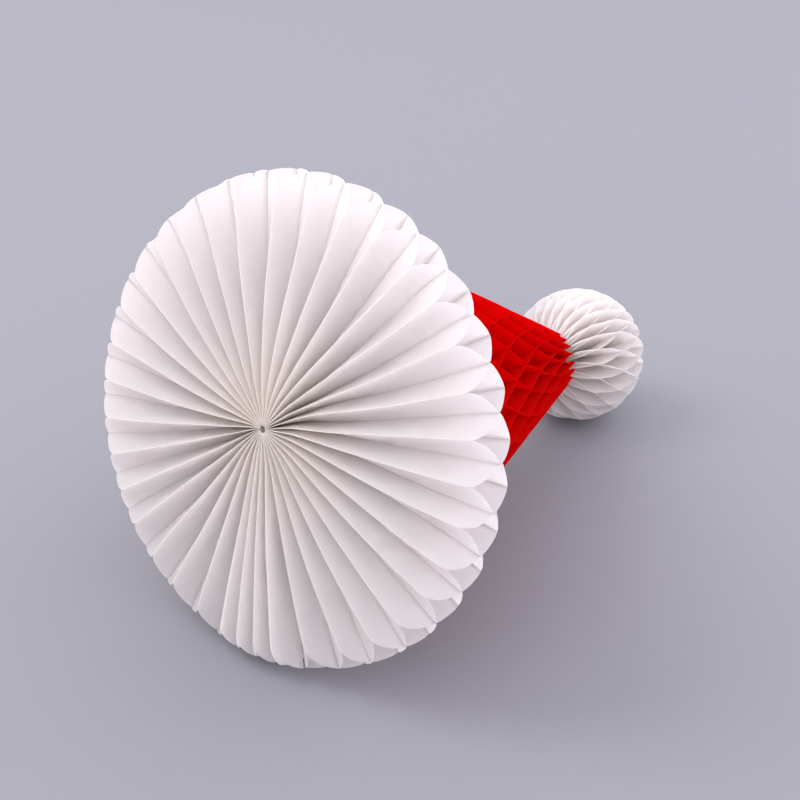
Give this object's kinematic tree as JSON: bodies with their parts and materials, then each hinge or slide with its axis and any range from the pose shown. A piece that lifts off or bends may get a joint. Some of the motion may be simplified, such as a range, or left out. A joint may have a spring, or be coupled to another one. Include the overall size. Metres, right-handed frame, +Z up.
{
  "type": "honeycomb tissue santa hat",
  "caption": "Santa hat of honeycomb tissue that fans open about its spine, with a white brim, a red cone and a white pompom, lying on its side.",
  "frame": {"origin": "middle of the hat's footprint, on the surface it lies on", "axes": "+Z up; +Y runs along the hat from brim to pompom as seen from above; +X to the side. The hat's own axis leans down by 16 degrees towards +Y"},
  "size_m": [0.1991, 0.2906, 0.1927],
  "materials": {
    "white_tissue": "matt",
    "red_tissue": "matt",
    "card": "matt",
    "thread": "matt",
    "adhesive": "satin"
  },
  "bodies": {
    "spine": {"brim_spine": "white_tissue", "cone_spine": "red_tissue", "pompom_spine": "white_tissue", "binding_thread": "thread", "brim_knot": "thread", "pompom_knot": "thread", "fixed_card": "card", "brim_tape": "adhesive", "cone_tape": "adhesive"},
    "swing_card": {"swing_card": "card"},
    "sector_01": {"brim_pad_01": "white_tissue", "cone_pad_01": "red_tissue", "pompom_pad_01": "white_tissue"},
    "sector_02": {"brim_pad_02": "white_tissue", "cone_pad_02": "red_tissue", "pompom_pad_02": "white_tissue"},
    "sector_03": {"brim_pad_03": "white_tissue", "cone_pad_03": "red_tissue", "pompom_pad_03": "white_tissue"},
    "sector_04": {"brim_pad_04": "white_tissue", "cone_pad_04": "red_tissue", "pompom_pad_04": "white_tissue"},
    "sector_05": {"brim_pad_05": "white_tissue", "cone_pad_05": "red_tissue", "pompom_pad_05": "white_tissue"},
    "sector_06": {"brim_pad_06": "white_tissue", "cone_pad_06": "red_tissue", "pompom_pad_06": "white_tissue"},
    "sector_07": {"brim_pad_07": "white_tissue", "cone_pad_07": "red_tissue", "pompom_pad_07": "white_tissue"},
    "sector_08": {"brim_pad_08": "white_tissue", "cone_pad_08": "red_tissue", "pompom_pad_08": "white_tissue"},
    "sector_09": {"brim_pad_09": "white_tissue", "cone_pad_09": "red_tissue", "pompom_pad_09": "white_tissue"},
    "sector_10": {"brim_pad_10": "white_tissue", "cone_pad_10": "red_tissue", "pompom_pad_10": "white_tissue"},
    "sector_11": {"brim_pad_11": "white_tissue", "cone_pad_11": "red_tissue", "pompom_pad_11": "white_tissue"},
    "sector_12": {"brim_pad_12": "white_tissue", "cone_pad_12": "red_tissue", "pompom_pad_12": "white_tissue"}
  },
  "joints": [
    {"name": "fan", "type": "hinge", "parent": "spine", "child": "swing_card", "pos_m": [0, -0.11948, 0.0994], "axis": [0, 0.9615, -0.2747], "range_deg": [-350, 0]},
    {"name": "fan_01", "type": "hinge", "parent": "spine", "child": "sector_01", "pos_m": [0, -0.11948, 0.0994], "axis": [0, 0.9615, -0.2747], "range_deg": [-11.41, 1], "deforming": ["brim_pad_01", "cone_pad_01", "pompom_pad_01"]},
    {"name": "fan_02", "type": "hinge", "parent": "spine", "child": "sector_02", "pos_m": [0, -0.11948, 0.0994], "axis": [0, 0.9615, -0.2747], "range_deg": [-34.95, 1], "deforming": ["brim_pad_02", "cone_pad_02", "pompom_pad_02"]},
    {"name": "fan_03", "type": "hinge", "parent": "spine", "child": "sector_03", "pos_m": [0, -0.11948, 0.0994], "axis": [0, 0.9615, -0.2747], "range_deg": [-63.82, 1], "deforming": ["brim_pad_03", "cone_pad_03", "pompom_pad_03"]},
    {"name": "fan_04", "type": "hinge", "parent": "spine", "child": "sector_04", "pos_m": [0, -0.11948, 0.0994], "axis": [0, 0.9615, -0.2747], "range_deg": [-92.98, 1], "deforming": ["brim_pad_04", "cone_pad_04", "pompom_pad_04"]},
    {"name": "fan_05", "type": "hinge", "parent": "spine", "child": "sector_05", "pos_m": [0, -0.11948, 0.0994], "axis": [0, 0.9615, -0.2747], "range_deg": [-122.82, 1], "deforming": ["brim_pad_05", "cone_pad_05", "pompom_pad_05"]},
    {"name": "fan_06", "type": "hinge", "parent": "spine", "child": "sector_06", "pos_m": [0, -0.11948, 0.0994], "axis": [0, 0.9615, -0.2747], "range_deg": [-153.56, 1], "deforming": ["brim_pad_06", "cone_pad_06", "pompom_pad_06"]},
    {"name": "fan_07", "type": "hinge", "parent": "spine", "child": "sector_07", "pos_m": [0, -0.11948, 0.0994], "axis": [0, 0.9615, -0.2747], "range_deg": [-185.59, 1], "deforming": ["brim_pad_07", "cone_pad_07", "pompom_pad_07"]},
    {"name": "fan_08", "type": "hinge", "parent": "spine", "child": "sector_08", "pos_m": [0, -0.11948, 0.0994], "axis": [0, 0.9615, -0.2747], "range_deg": [-217.88, 1], "deforming": ["brim_pad_08", "cone_pad_08", "pompom_pad_08"]},
    {"name": "fan_09", "type": "hinge", "parent": "spine", "child": "sector_09", "pos_m": [0, -0.11948, 0.0994], "axis": [0, 0.9615, -0.2747], "range_deg": [-249.66, 1], "deforming": ["brim_pad_09", "cone_pad_09", "pompom_pad_09"]},
    {"name": "fan_10", "type": "hinge", "parent": "spine", "child": "sector_10", "pos_m": [0, -0.11948, 0.0994], "axis": [0, 0.9615, -0.2747], "range_deg": [-280.9, 1], "deforming": ["brim_pad_10", "cone_pad_10", "pompom_pad_10"]},
    {"name": "fan_11", "type": "hinge", "parent": "spine", "child": "sector_11", "pos_m": [0, -0.11948, 0.0994], "axis": [0, 0.9615, -0.2747], "range_deg": [-311.48, 1], "deforming": ["brim_pad_11", "cone_pad_11", "pompom_pad_11"]},
    {"name": "fan_12", "type": "hinge", "parent": "spine", "child": "sector_12", "pos_m": [0, -0.11948, 0.0994], "axis": [0, 0.9615, -0.2747], "range_deg": [-339.21, 1], "deforming": ["brim_pad_12", "cone_pad_12", "pompom_pad_12"]}
  ],
  "couplings": [
    {"joint": "fan_01", "follows": "fan", "ratio": 0.02689},
    {"joint": "fan_02", "follows": "fan", "ratio": 0.09414},
    {"joint": "fan_03", "follows": "fan", "ratio": 0.17663},
    {"joint": "fan_04", "follows": "fan", "ratio": 0.25995},
    {"joint": "fan_05", "follows": "fan", "ratio": 0.34521},
    {"joint": "fan_06", "follows": "fan", "ratio": 0.43303},
    {"joint": "fan_07", "follows": "fan", "ratio": 0.52453},
    {"joint": "fan_08", "follows": "fan", "ratio": 0.6168},
    {"joint": "fan_09", "follows": "fan", "ratio": 0.7076},
    {"joint": "fan_10", "follows": "fan", "ratio": 0.79685},
    {"joint": "fan_11", "follows": "fan", "ratio": 0.88423},
    {"joint": "fan_12", "follows": "fan", "ratio": 0.96346}
  ]
}
